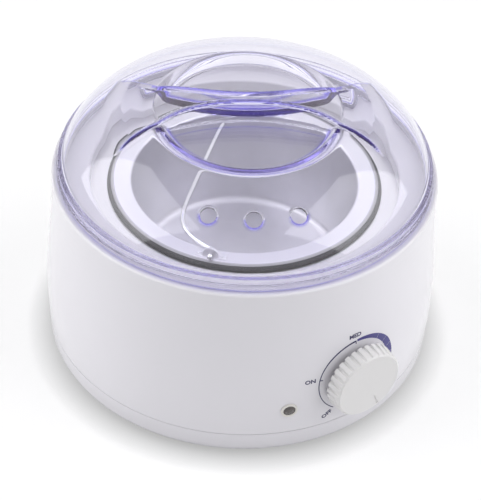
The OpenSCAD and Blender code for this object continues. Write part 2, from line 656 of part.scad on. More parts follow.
module cord_gland() color("white") out_of_wall(inlet_z, 180) difference() {
    union() {
        translate([0, 0, inlet_wall_r - wall - 6]) cylinder(r = inlet_r + 2.6, h = wall + 6.5, $fn = 48);
        translate([0, 0, inlet_wall_r + fit_gap]) cylinder(r = inlet_r + 4.8, h = gland_flange_t, $fn = 48);
        translate([0, 0, inlet_wall_r + gland_flange_t])
            cylinder(r1 = inlet_r + 3.2, r2 = inlet_r + 1.8, h = gland_nose, $fn = 48);
    }
    translate([0, 0, inlet_wall_r - 20]) cylinder(r = inlet_r, h = 40, $fn = 48);
}

module gland_nut() color("white") out_of_wall(inlet_z, 180)
    translate([0, 0, inlet_wall_r - wall - 3.7]) difference() {
        cylinder(r = inlet_r + 5.6, h = 3, $fn = 6);
        translate([0, 0, -cut]) cylinder(r = inlet_r + 2.65, h = 3 + 2 * cut, $fn = 48);
    }

module pot() color("lightgray") difference() {
    rotate_extrude($fn = 144) polygon(concat(
        [[0, pot_floor]],
        arc([pot_r - pot_taper - 4, pot_floor + 4], 4, 4, -90, -3, 6),
        arc([pot_r + 1.2, pot_top - 1.2], 1.2, 1.2, 180, 90, 4),
        arc([pot_r + flange_w, pot_top - curl_h], curl_w, curl_h, 90, 0, 6),
        [[pot_r + flange_w + curl_w - pot_wall, pot_top - curl_h],
         [pot_r + flange_w, pot_top - pot_wall]],
        arc([pot_out_r + 1.2, pot_top - pot_wall - 1.2], 1.2, 1.2, 90, 180, 4),
        arc([pot_r - pot_taper - 4, pot_floor + 4], 4 + pot_wall, 4 + pot_wall, -3, -90, 6),
        [[0, pot_floor - pot_wall]]));
    for (s = [0, 180]) rotate([0, 0, bail_turn + s]) for (y = [-rivet_place, rivet_place])
        translate([rivet_r, y, pot_top - 3]) cylinder(r = rivet_shank + fit_gap / 2, h = 6, $fn = 24);
}

// Folded sheet ears, each riveted to the flange, that hold the bail
module bail_ears() color("silver") for (s = [0, 180]) rotate([0, 0, bail_turn + s]) difference() {
    union() {
        translate([ear_r - 3, -ear_w, pot_top]) cube([3 + ear_t, 2 * ear_w, 0.5]);
        translate([ear_r, -ear_w / 2, pot_top]) cube([ear_t, ear_w, pivot_z - pot_top]);
        translate([ear_r, 0, pivot_z]) rotate([0, 90, 0]) cylinder(r = ear_w / 2, h = ear_t, $fn = 48);
    }
    translate([ear_r - 9, -10, pot_top - 10]) cube([20, 20, 10]);
    translate([ear_r - cut, 0, pivot_z]) rotate([0, 90, 0])
        cylinder(r = bail_wire / 2 + run_gap, h = ear_t + 2 * cut, $fn = 48);
    for (y = [-rivet_place, rivet_place]) translate([rivet_r, y, pot_top - cut])
        cylinder(r = rivet_shank + fit_gap / 2, h = 4, $fn = 24);
}

module ear_rivets() color("silver") for (s = [0, 180]) rotate([0, 0, bail_turn + s])
    for (y = [-rivet_place, rivet_place]) translate([rivet_r, y, 0]) {
        translate([0, 0, pot_top - pot_wall - 0.5]) cylinder(r = rivet_shank, h = pot_wall + 1.4, $fn = 24);
        translate([0, 0, pot_top - pot_wall - 0.6]) cylinder(r = rivet_shank + 0.5, h = 0.6, $fn = 24);
        translate([0, 0, pot_top + 0.5]) cylinder(r = rivet_shank + 0.5, h = 0.6, $fn = 24);
    }

// Wire bow that swings on two pins in the ears and lies across the mouth
module bail() color("gainsboro") rotate([0, 0, bail_turn]) translate([0, 0, pivot_z]) {
    for (s = [0, 180]) rotate([0, 0, s]) translate([bail_half - 0.4, 0, 0]) rotate([0, 90, 0])
        cylinder(r = bail_wire / 2, h = bail_end - bail_half + 0.4, $fn = 32);
    tube([for (i = [-20 : 20]) let (t = i / 20, s = sin(90 * t))
        [bail_half * s, bail_rise * (1 - pow(abs(s), 3)), 0]], bail_wire / 2);
}

// Dome, handle and dish, each moved in by t to give the lid's inner face
module lid_dome(t) rotate_extrude($fn = 180) polygon(concat(
    [[0, lid_z - lip_h - cut], [dome_r - t, lid_z - lip_h - cut]],
    dome_line(dome_r - t, dome_z, dome_rise - t, dome_flat, dome_full)));

module dish(t) rotate_extrude($fn = 144) polygon([[0, dish_z - t], [dish_r + t, dish_z - t],
    [dish_r + t + 10 * 5 / 8.7, dish_z - t + 10 + 10], [0, lid_top + 20]]);

module handle_plan(t) difference() {
    square([2 * handle_reach, handle_reach], center = true);
    for (s = [-1, 1]) translate([0, s * (handle_w / 2 + handle_bow)])
        circle(r = handle_bow + t, $fn = 180);
}

module handle_block(t) intersection() {
    rotate_extrude($fn = 180) polygon(concat([[0, dish_z - 8], [handle_reach - t, dish_z - 8]],
        [for (i = [arc_steps : -1 : 0]) let (r = (handle_reach - t) * i / arc_steps)
            [r, crown(r) - t]]));
    translate([0, 0, dish_z - 10]) linear_extrude(lid_rise) handle_plan(t);
}

module lid() color("thistle", 0.5) rotate([0, 0, lid_turn]) difference() {
    union() {
        difference() {
            lid_dome(0);
            translate([0, 0, lid_z - lip_h - 2 * cut]) cylinder(r = lid_rim_r + 9, h = lip_h + 2 * cut);
            dish(0);
        }
        handle_block(0);
        ring(lid_rim_r, dome_r - 1, rim_h, lid_z, $fn = 180);
        ring(rim_step_r, dome_r - 1, rim_h + rim_step_h, lid_z, $fn = 180);
        ring(lip_r, lip_r - 1.8, lip_h + cut, lid_z - lip_h, $fn = 180);
    }
    difference() {
        lid_dome(lid_wall);
        dish(lid_wall);
        ring(lid_rim_r + 9, lip_r - 1.8, lip_h + 2 + cut, lid_z - lip_h - cut, $fn = 180);
    }
    handle_block(lid_wall);
    for (k = [-1, 0, 1]) rotate([0, 0, k * vent_step - 90])
        translate([vent_ring_r, 0, vent_z]) rotate([0, 34, 0])
            cylinder(r = vent_r, h = 4 * lid_wall, center = true, $fn = 48);
}

housing();
base_pan();
base_screws();
feet();
heating_well();
well_screws();
heater_band();
band_clamp();
clamp_screw();
insulation();
heat_shield();
shield_screws();
thermostat();
thermostat_nut();
thermostat_shaft();
knob();
sensor_phial();
phial_clip();
capillary();
thermal_fuse();
fuse_clip();
lamp_holder();
pilot_lens();
neon_bulb();
terminal_block();
terminal_screws();
block_screws();
earth_tag();
earth_screw();
heater_leads();
lamp_leads();
earth_lead();
cord_gland();
gland_nut();
pot();
bail_ears();
ear_rivets();
bail();
lid();
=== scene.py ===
"""Finishes, clear lid, dial print and studio for the wax warmer pot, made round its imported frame."""
import math

import bpy
import numpy as np
from bpy.props import FloatProperty, FloatVectorProperty, PointerProperty
from bpy.types import Operator, Panel, PropertyGroup
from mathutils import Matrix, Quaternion, Vector


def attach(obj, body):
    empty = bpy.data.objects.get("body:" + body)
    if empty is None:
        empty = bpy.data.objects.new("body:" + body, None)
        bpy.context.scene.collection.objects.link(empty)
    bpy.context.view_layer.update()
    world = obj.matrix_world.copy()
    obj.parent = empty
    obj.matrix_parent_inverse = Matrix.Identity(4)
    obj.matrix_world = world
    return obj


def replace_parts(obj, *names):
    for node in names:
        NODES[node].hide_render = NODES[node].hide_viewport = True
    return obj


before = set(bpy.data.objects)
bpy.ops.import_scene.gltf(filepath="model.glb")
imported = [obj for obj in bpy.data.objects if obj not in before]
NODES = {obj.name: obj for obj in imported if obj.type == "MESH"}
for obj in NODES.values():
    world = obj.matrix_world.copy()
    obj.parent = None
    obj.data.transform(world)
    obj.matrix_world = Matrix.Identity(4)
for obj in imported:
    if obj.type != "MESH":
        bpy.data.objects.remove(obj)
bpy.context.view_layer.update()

bl_info = {
    "name": "Wax Warmer Pot",
    "version": (1, 0, 0),
    "blender": (4, 5, 0),
    "location": "3D View > Sidebar > Wax Warmer",
    "description": "Dresses the packed wax warmer with its lid, dial print, finishes and studio",
    "category": "Object",
}

MM = 0.001
BLACK = (0, 0, 0, 1)
WHITE = (1, 1, 1, 1)

# The housing, in mm: the height and radius of its widest place, of its upper edge and of its foot
BELLY_Z, BELLY_R = 28.0, 92.2
TOP_Z, TOP_R = 94.5, 88.2
FOOT_R = 91.0

# The pot and its bail, in mm
FLANGE_R, FLANGE_WIDTH = 59.6, 8.0  # where the pot's flange starts to turn down, and how wide it is
BAIL_TURN, BAIL_Z = 41.0, 89.1      # the pivot line's turn from +X in degrees, and its height
BAIL_HALF, BAIL_END = 54.4, 60.2    # where the bow ends and where its pivot pins end, from the axis
BAIL_RISE, BAIL_FULLNESS = 20.0, 7  # how far the bow stands out, and how square it is
BAIL_RADIUS = 1.0                   # of the wire

# The lid's lesser sizes, in mm
FIN_LENGTH, FIN_SINK = 13.0, 1.2    # over this length the handle's ends sink this far under the dome
BRIM = 5.0                          # how much wider the finger dish is at its mouth than at its floor
GROOVE_R, GROOVE_RUN = 41.0, 11.0   # from this radius, over this run, the handle's top wall doubles
GRIP_DEPTH = 8.0                    # how far the handle's block reaches under the dish's floor
SHARP = 0.5                         # rounding of the lid's sharpest corners
FOOT_BEFORE, FOOT_RUN = 8.0, 6.0    # so far inside the dish's wall the handle's hollow foot starts to fade
LIP_RUN = 20.0                      # the dish's lip gets softer from rear to front over this distance
RIM_HEIGHT, RIM_ROUND = 3.4, 1.2    # height of the rim's outer band and the rounding of its corner
STEP_HEIGHT, STEP_ROUND = 6.6, 1.0  # the same for the step over it
STEP_IN, STEP_JOIN = 0.8, 0.6       # how far the step stands in, and the hollow corners where bands meet
FACE_ROUND = 1.0                    # rounding of the rim's lower corner
LIP_WALL, LIP_DEPTH = 1.9, 3.0      # the lip that hangs inside the body's edge
LIP_ROOT = 1.0                      # how far the lip is rooted above the rim's lower face
LID_DENSITY = 29.0                  # how strongly the lid's plastic absorbs light, per metre
VENT_LEAN = math.radians(34)        # how far the vent holes lean outwards from upright
VENT_ROUND = 0.9                    # rounding of the vent holes' edges
UNMARKED = 9.0                      # a distance at which an edge no longer paints violet light and shade on the lid
CAUGHT_REACH, CAUGHT_HALF = 25.0, 1.9    # reach along the handle, and half height, of the band of painted light that stands for light caught in it
CAUGHT_Z, CAUGHT_RISE = 3.4, 4.8    # height of that band over the dish's floor, and its rise at the ends
CORNER_REACH = 38.0                 # along the handle, where the painted dark line at the front dish's corner is thickest

# The dial's words: text, turn clockwise from the top and reach from the knob's axis, and its own lean
WORDS = (("OFF", 217.0, 23.8, 38.0), ("ON", 280.0, 23.8, 0.0), ("MED", 355.5, 22.6, 0.0))
CAPITAL_HEIGHT = 0.7                # height of a capital as a share of the font's size
WIDEN = 1.05                        # how much wider than plain the letters are
BOLDEN = 0.042                      # how much bolder, as a share of their height
TICK_TURN, TICK_LENGTH = 0.7, 1.5   # half a tick's width in degrees, and its length inwards in mm
BAND_CUTS = (396.0, 414.0, 430.0, 446.0, 462.0, 478.0)    # where pale lines cross the band
CUT_TURN = 0.7                      # how wide they are, in degrees
BAND_GAP, BAND_GROWTH = 2.2, 60.0   # how far past medium the band starts, and over what turn it widens
BAND_FIRST = 0.35                   # its width there as a share of its full width
BAND_INWARD = 0.45                  # share of its width that lies inside the line's radius

LAMP_AIM = Vector((0, 0, 0.06))     # the place that the lamps point at, in metres


# ---------------------------------------------------------------- shader maths

class Value:
    """A socket that varies over a surface, with arithmetic written as Python expressions."""

    def __init__(self, finish, socket):
        self.finish = finish
        self.socket = socket

    def maths(self, operation, *others, clamp=False):
        """This number and others put through one operation, kept between 0 and 1 if clamped."""
        return self.finish.node("ShaderNodeMath", {"operation": operation, "use_clamp": clamp},
                                dict(enumerate((self,) + others)))

    def __add__(self, other):
        return self.maths("ADD", other)

    __radd__ = __add__

    def __mul__(self, other):
        return self.maths("MULTIPLY", other)

    __rmul__ = __mul__

    def __sub__(self, other):
        return self.maths("SUBTRACT", other)

    def __rsub__(self, other):
        return self.finish.node("ShaderNodeMath", {"operation": "SUBTRACT"}, {0: other, 1: self})

    def part(self, name):
        """Another output of the same node."""
        return Value(self.finish, self.socket.node.outputs[name])


class Finish:
    """A material and the one method that adds nodes to it."""

    def __init__(self, name, tree=None):
        if tree is None:
            self.material = bpy.data.materials.new(name)
            self.material.use_nodes = True
            tree = self.material.node_tree
        self.tree = tree
        self.tree.nodes.clear()

    def node(self, kind, settings=None, inputs=None, output=0):
        """Adds a node of a kind, with its settings set first, then the values or links of its sockets."""
        node = self.tree.nodes.new(kind)
        for key, value in (settings or {}).items():
            setattr(node, key, value)
        for key, value in (inputs or {}).items():
            if isinstance(value, Value):
                self.tree.links.new(value.socket, node.inputs[key])
            else:
                node.inputs[key].default_value = value
        return Value(self, node.outputs[output]) if node.outputs else node

    def place(self):
        """Where a point is in its object's own frame, in metres."""
        return self.node("ShaderNodeTexCoord", output="Object")

    def noise(self, scale, detail=2.0, roughness=0.5, stretch=None):
        """Cloudy noise with this many clouds to a metre, squeezed along each axis by stretch."""
        place = self.place()
        if stretch:
            place = self.node("ShaderNodeVectorMath", {"operation": "MULTIPLY"}, {0: place, 1: stretch})
        return self.node("ShaderNodeTexNoise", {}, {"Vector": place, "Scale": scale, "Detail": detail,
                                                    "Roughness": roughness})

    def radius(self):
        """Distance from the object's upright axis, in metres."""
        flat = self.node("ShaderNodeVectorMath", {"operation": "MULTIPLY"}, {0: self.place(), 1: (1, 1, 0)})
        return self.node("ShaderNodeVectorMath", {"operation": "LENGTH"}, {0: flat}, output="Value")

    def rings(self, pitch):
        """Fine turning marks: noise along the radius alone."""
        return self.node("ShaderNodeTexNoise", {"noise_dimensions": "1D"},
                         {"W": self.radius() * (1 / pitch), "Scale": 1.0, "Detail": 3.0, "Roughness": 0.6})

    def blend(self, mask, first, second):
        """Colour that runs from first to second as mask goes from 0 to 1."""
        return self.node("ShaderNodeMix", {"data_type": "RGBA"}, {0: mask, 6: first, 7: second}, output=2)

    def seen(self):
        """1 where the camera looks, straight or by way of metal or clear plastic, and 0 for other light."""
        paths = self.node("ShaderNodeLightPath")
        seen = paths.part("Is Camera Ray").maths("MAXIMUM", paths.part("Is Glossy Ray"))
        return seen.maths("MAXIMUM", paths.part("Is Transmission Ray"))

    def bump(self, height, strength, distance):
        """Surface normal for a relief of a height from 0 to 1, which stands for a distance in metres."""
        return self.node("ShaderNodeBump", {}, {"Height": height, "Strength": strength, "Distance": distance})

    def surface(self, inputs, tint=None, glow=None):
        """Closes the material with a Principled surface. A tint absorbs light inside it, and a glow is
        painted
            light: the volume gives out light of its own."""
        ends = {"Surface": self.node("ShaderNodeBsdfPrincipled", {}, inputs)}
        if tint:
            absorbed = self.node("ShaderNodeVolumeAbsorption", {}, tint)
            painted_glow_shader = self.node("ShaderNodeEmission", {}, glow)
            ends["Volume"] = self.node("ShaderNodeAddShader", {}, {0: absorbed, 1: painted_glow_shader})
        self.node("ShaderNodeOutputMaterial", {}, ends)
        return self.material


def rgba(colour, gain=1.0):
    """A colour made lighter or darker by a gain, with full alpha."""
    return tuple(min(1.0, c * gain) for c in colour[:3]) + (1.0,)


# ---------------------------------------------------------------- finishes

def moulded_plastic(name, colour, rough, relief=0.02, coat=0.0):
    """Moulded plastic: a faint orange peel every 3 mm, small changes of gloss and a trace of unevenness in
    its colour."""
    finish = Finish(name)
    peel = finish.noise(1 / (3.0 * MM))
    cloud = finish.noise(18, 3.0)
    return finish.surface({
        "Base Color": finish.blend(cloud, rgba(colour, 0.975), rgba(colour, 1.01)),
        "Roughness": rough + 0.05 * (cloud - 0.5) + 0.03 * (peel - 0.5),
        "Normal": finish.bump(peel, 0.25, relief * MM),
        "IOR": 1.5, "Coat Weight": coat, "Coat Roughness": 0.06})


def turned_metal(name, colour, rough, pitch, edge=None):
    """Spun sheet metal: fine rings round the axis and a soft cloudiness from washing and use. Beyond the
    radius edge it has painted shade, darkest where it turns down, standing in for the shadow and dark
    reflections in the gap round the flange; well inside that radius it is darker in cloudy patches."""
    finish = Finish(name)
    rings = finish.rings(pitch * MM)
    cloud = finish.noise(35, 4.0, 0.6)
    metal = finish.blend(0.55 * rings + 0.45 * cloud, rgba(colour, 0.9), rgba(colour, 1.04))
    if edge:
        # Painted shade: beyond the edge radius the colour goes nearly black, most where the surface faces
        # away from straight up, standing in for the shadow in the gap round the flange
        normal = finish.node("ShaderNodeNewGeometry", output="Normal")
        up = finish.node("ShaderNodeVectorMath", {"operation": "DOT_PRODUCT"}, {0: normal, 1: (0, 0, 1)},
                         output="Value")
        turned_down_shade = (14.0 - 14.2 * up).maths("MINIMUM", 1.0, clamp=True)
        painted_shade_zone = finish.radius().maths("GREATER_THAN", edge * MM)
        # darker in cloudy patches well inside the flange's radius
        inner_patches = finish.radius().maths("LESS_THAN", (edge - FLANGE_WIDTH) * MM)
        metal = finish.blend(inner_patches * (0.55 + 0.9 * (cloud - 0.5)), metal, rgba(colour, 0.7))
        metal = finish.blend(painted_shade_zone * (0.4 + 0.6 * turned_down_shade), metal, rgba(colour, 0.05))
    return finish.surface({
        "Base Color": metal,
        "Roughness": rough + 0.12 * (cloud - 0.5) + 0.10 * (rings - 0.5),
        "Metallic": 1.0,
        "Normal": finish.bump(rings, 0.3, 0.01 * MM)})


def cast_metal(name, colour, rough, grain=900, relief=0.015):
    """Cast, plated or drawn metal with a fine even grain and a little cloudiness."""
    finish = Finish(name)
    grainy = finish.noise(grain, 3.0, 0.6)
    cloud = finish.noise(60, 3.0)
    return finish.surface({
        "Base Color": finish.blend(cloud, rgba(colour, 0.88), rgba(colour, 1.05)),
        "Roughness": rough + 0.16 * (grainy - 0.5), "Metallic": 1.0,
        "Normal": finish.bump(grainy, 0.3, relief * MM)})


def soft_rubber(name, colour, rough):
    """Rubber or silicone: matt, faintly grained, with dust in clouds."""
    finish = Finish(name)
    grainy = finish.noise(1500, 3.0, 0.65)
    dust = finish.noise(90, 4.0)
    return finish.surface({
        "Base Color": finish.blend(dust, rgba(colour), rgba(colour, 1.25)),
        "Roughness": rough + 0.15 * (dust - 0.5), "Normal": finish.bump(grainy, 0.35, 0.03 * MM)})


def layered_mica(name, colour):
    """Mica sheet: overlapping flakes with bright flecks."""
    finish = Finish(name)
    flakes = finish.node("ShaderNodeTexVoronoi", {}, {"Vector": finish.place(), "Scale": 260.0})
    fleck = finish.noise(700, 2.0)
    return finish.surface({
        "Base Color": finish.blend(flakes, rgba(colour, 0.7), rgba(colour, 1.25)),
        "Roughness": 0.3 + 0.25 * fleck, "Metallic": 0.15 + 0.2 * fleck,
        "Normal": finish.bump(flakes, 0.4, 0.05 * MM)})


def glass_wool(name, colour):
    """Pressed glass wool: long tangled fibres."""
    finish = Finish(name)
    fibres = finish.noise(420, 6.0, 0.8, stretch=(1, 1, 5))
    tufts = finish.noise(120, 4.0, 0.7)
    return finish.surface({
        "Base Color": finish.blend(fibres * tufts * 2.0, rgba(colour, 0.65), rgba(colour, 1.1)),
        "Roughness": 0.85 + 0.1 * fibres, "Sheen Weight": 0.3,
        "Normal": finish.bump(fibres + 2.0 * tufts, 0.9, 0.4 * MM)})


def clear_plastic(name, tint, density, glow=BLACK, painted_edge_tint=WHITE, painted_edge_glow=BLACK):
    """Clear moulded plastic or glass: its tint deepens with the length of it that is looked through. Where
    the mesh's attribute marks edges, violet shade and a glow are painted, for light caught inside."""
    finish = Finish(name)
    flow = finish.noise(22, 1.0)
    haze = finish.noise(300)
    # Painted light and shade: the edge attribute paints dark violet lines into the base colour and a glow
    # into the emission, standing in for refracted lines and light caught inside
    edge = finish.node("ShaderNodeAttribute", {"attribute_name": "edge"}, output="Fac")
    face = finish.blend(haze, (0.985, 0.985, 1, 1), WHITE)
    # Painted glow: the volume's emission stands in for light trapped inside the plastic
    painted_glow_colour = [back * (1 - kept) for back, kept in zip(glow, tint)]
    return finish.surface({
        "Base Color": finish.blend(edge, face, rgba(painted_edge_tint)),
        "Roughness": 0.015 + 0.01 * haze, "IOR": 1.5, "Transmission Weight": 1.0,
        "Emission Color": finish.blend(edge, BLACK, rgba(painted_edge_glow)), "Emission Strength": 1.0,
        "Normal": finish.bump(flow + 0.02 * haze, 0.4, 0.004 * MM)},
        {"Color": rgba(tint), "Density": density},
        {"Color": rgba(painted_glow_colour), "Strength": density})


def smoked_lens(name, colour):
    """Dark lamp lens with fine facets inside."""
    finish = Finish(name)
    cells = finish.node("ShaderNodeTexVoronoi", {}, {"Vector": finish.place(), "Scale": 900.0})
    return finish.surface({
        "Base Color": finish.blend(cells, rgba(colour, 0.6), rgba(colour, 1.6)),
        "Roughness": 0.12 + 0.1 * cells, "Coat Weight": 0.6, "Coat Roughness": 0.05,
        "Normal": finish.bump(cells, 0.25, 0.05 * MM)})


def printed_ink(name, colour):
    """Pad-printed ink: slightly uneven cover and a satin face."""
    finish = Finish(name)
    cover = finish.noise(900, 3.0, 0.6)
    return finish.surface({
        "Base Color": finish.blend(cover, rgba(colour, 0.85), rgba(colour, 1.2)),
        "Roughness": 0.32 + 0.12 * cover, "Normal": finish.bump(cover, 0.2, 0.005 * MM)})


def woven_sleeve(name, first, second):
    """Two-colour sleeving that spirals along a lead."""
    finish = Finish(name)
    stripes = finish.node("ShaderNodeTexWave", {"bands_direction": "DIAGONAL"},
                          {"Vector": finish.place(), "Scale": 90.0, "Distortion": 0.4})
    return finish.surface({
        "Base Color": finish.blend(stripes.part("Fac"), rgba(first), rgba(second)),
        "Roughness": 0.45 + 0.1 * stripes.part("Fac"),
        "Normal": finish.bump(finish.noise(1200), 0.2, 0.02 * MM)})


def dress(material, *names):
    """Puts one finish on CAD nodes."""
    for name in names:
        mesh = NODES[name].data
        mesh.materials.clear()
        mesh.materials.append(material)
        for polygon in mesh.polygons:
            polygon.material_index = 0


# ---------------------------------------------------------------- meshes

def new_piece(name, points, faces, material, body, slot, normals=None, smooth=True, edges=None):
    """A mesh piece from points in metres, which rides on a body. Edges holds how strongly each point is
    painted with violet light and shade near an edge of the plastic."""
    mesh = bpy.data.meshes.new(name)
    mesh.from_pydata([tuple(p) for p in points], [], [tuple(f) for f in faces])
    mesh.update()
    mesh.polygons.foreach_set("use_smooth", [smooth] * len(mesh.polygons))
    if normals is not None:
        mesh.normals_split_custom_set_from_vertices([tuple(n) for n in normals])
    if edges is not None:
        mesh.attributes.new("edge", "FLOAT", "POINT").data.foreach_set("value", edges.astype(np.float32))
    mesh.materials.append(material)
    piece = bpy.data.objects.new(name, mesh)
    bpy.context.scene.collection.objects.link(piece)
    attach(piece, body)
    return piece


def soft_max(a, b, blend):
    """The larger of two distances, with a rounded corner of about the blend's size."""
    h = np.maximum(blend - np.abs(a - b), 0.0) / blend
    return np.maximum(a, b) + h * h * blend / 4


def soft_min(a, b, blend):
    """The smaller of two distances, with a filled corner of about the blend's size."""
    return -soft_max(-a, -b, blend)


def surface_mesh(distance, low, high, pitch):
    """Points, faces and normals of the surface where distance(x, y, z) is 0, on a grid of the given pitch.
    Each cell of the grid that the surface crosses gets one point, which is then drawn on to the surface."""
    axes = [np.arange(a, b + pitch, pitch) for a, b in zip(low, high)]
    grid = np.meshgrid(*axes, indexing="ij")
    field = distance(*grid)
    inside = field < 0
    corners = [(i, j, k) for i in (0, 1) for j in (0, 1) for k in (0, 1)]
    span = tuple(n - 1 for n in field.shape)

    def corner(a, c):
        return a[c[0]:c[0] + span[0], c[1]:c[1] + span[1], c[2]:c[2] + span[2]]

    count = sum(corner(inside, c).astype(np.int8) for c in corners)
    active = (count > 0) & (count < 8)
    cells = np.argwhere(active)
    index = np.full(span, -1, np.int64)
    index[active] = np.arange(len(cells))
    values = np.stack([field[cells[:, 0] + c[0], cells[:, 1] + c[1], cells[:, 2] + c[2]] for c in corners])
    # A cell's point starts in the middle of the places where its edges cross the surface
    total, hits = np.zeros((len(cells), 3)), np.zeros(len(cells))
    for a in range(8):
        for b in range(a + 1, 8):
            step = np.array(corners[b]) - np.array(corners[a])
            if step.sum() != 1 or step.min() < 0:
                continue
            crosses = (values[a] < 0) != (values[b] < 0)
            share = np.where(crosses, values[a] / np.where(crosses, values[a] - values[b], 1.0), 0.0)
            total += crosses[:, None] * (np.array(corners[a]) + share[:, None] * step)
            hits += crosses
    points = np.array([axis[0] for axis in axes]) + pitch * (cells + total / hits[:, None])

    def slope(p, reach):
        return np.stack([(distance(*(p + reach * d).T) - distance(*(p - reach * d).T)) / (2 * reach)
                         for d in np.eye(3)], 1)

    for _ in range(4):
        uphill = slope(points, 0.04)
        move = distance(*points.T)[:, None] * uphill / np.maximum((uphill * uphill).sum(1), 0.2)[:, None]
        points = points - np.clip(move, -0.4 * pitch, 0.4 * pitch)
    uphill = slope(points, 0.12)
    normals = uphill / np.linalg.norm(uphill, axis=1)[:, None]
    # Each edge of the grid that crosses the surface is ringed by four cells, whose points make a face
    faces = []
    for axis in range(3):
        u, v = [d for d in range(3) if d != axis]
        near = np.argwhere(np.diff(inside.astype(np.int8), axis=axis) != 0)
        near = near[(near[:, u] > 0) & (near[:, v] > 0) & (near[:, u] < span[u]) & (near[:, v] < span[v])]
        ring = []
        for du, dv in ((-1, -1), (0, -1), (0, 0), (-1, 0)):
            cell = near.copy()
            cell[:, u] += du
            cell[:, v] += dv
            ring.append(index[cell[:, 0], cell[:, 1], cell[:, 2]])
        quads = np.stack(ring, 1)
        flip = inside[near[:, 0], near[:, 1], near[:, 2]] == (axis == 1)
        quads[flip] = quads[flip][:, ::-1]
        faces.append(quads)
    return points, np.concatenate(faces), normals


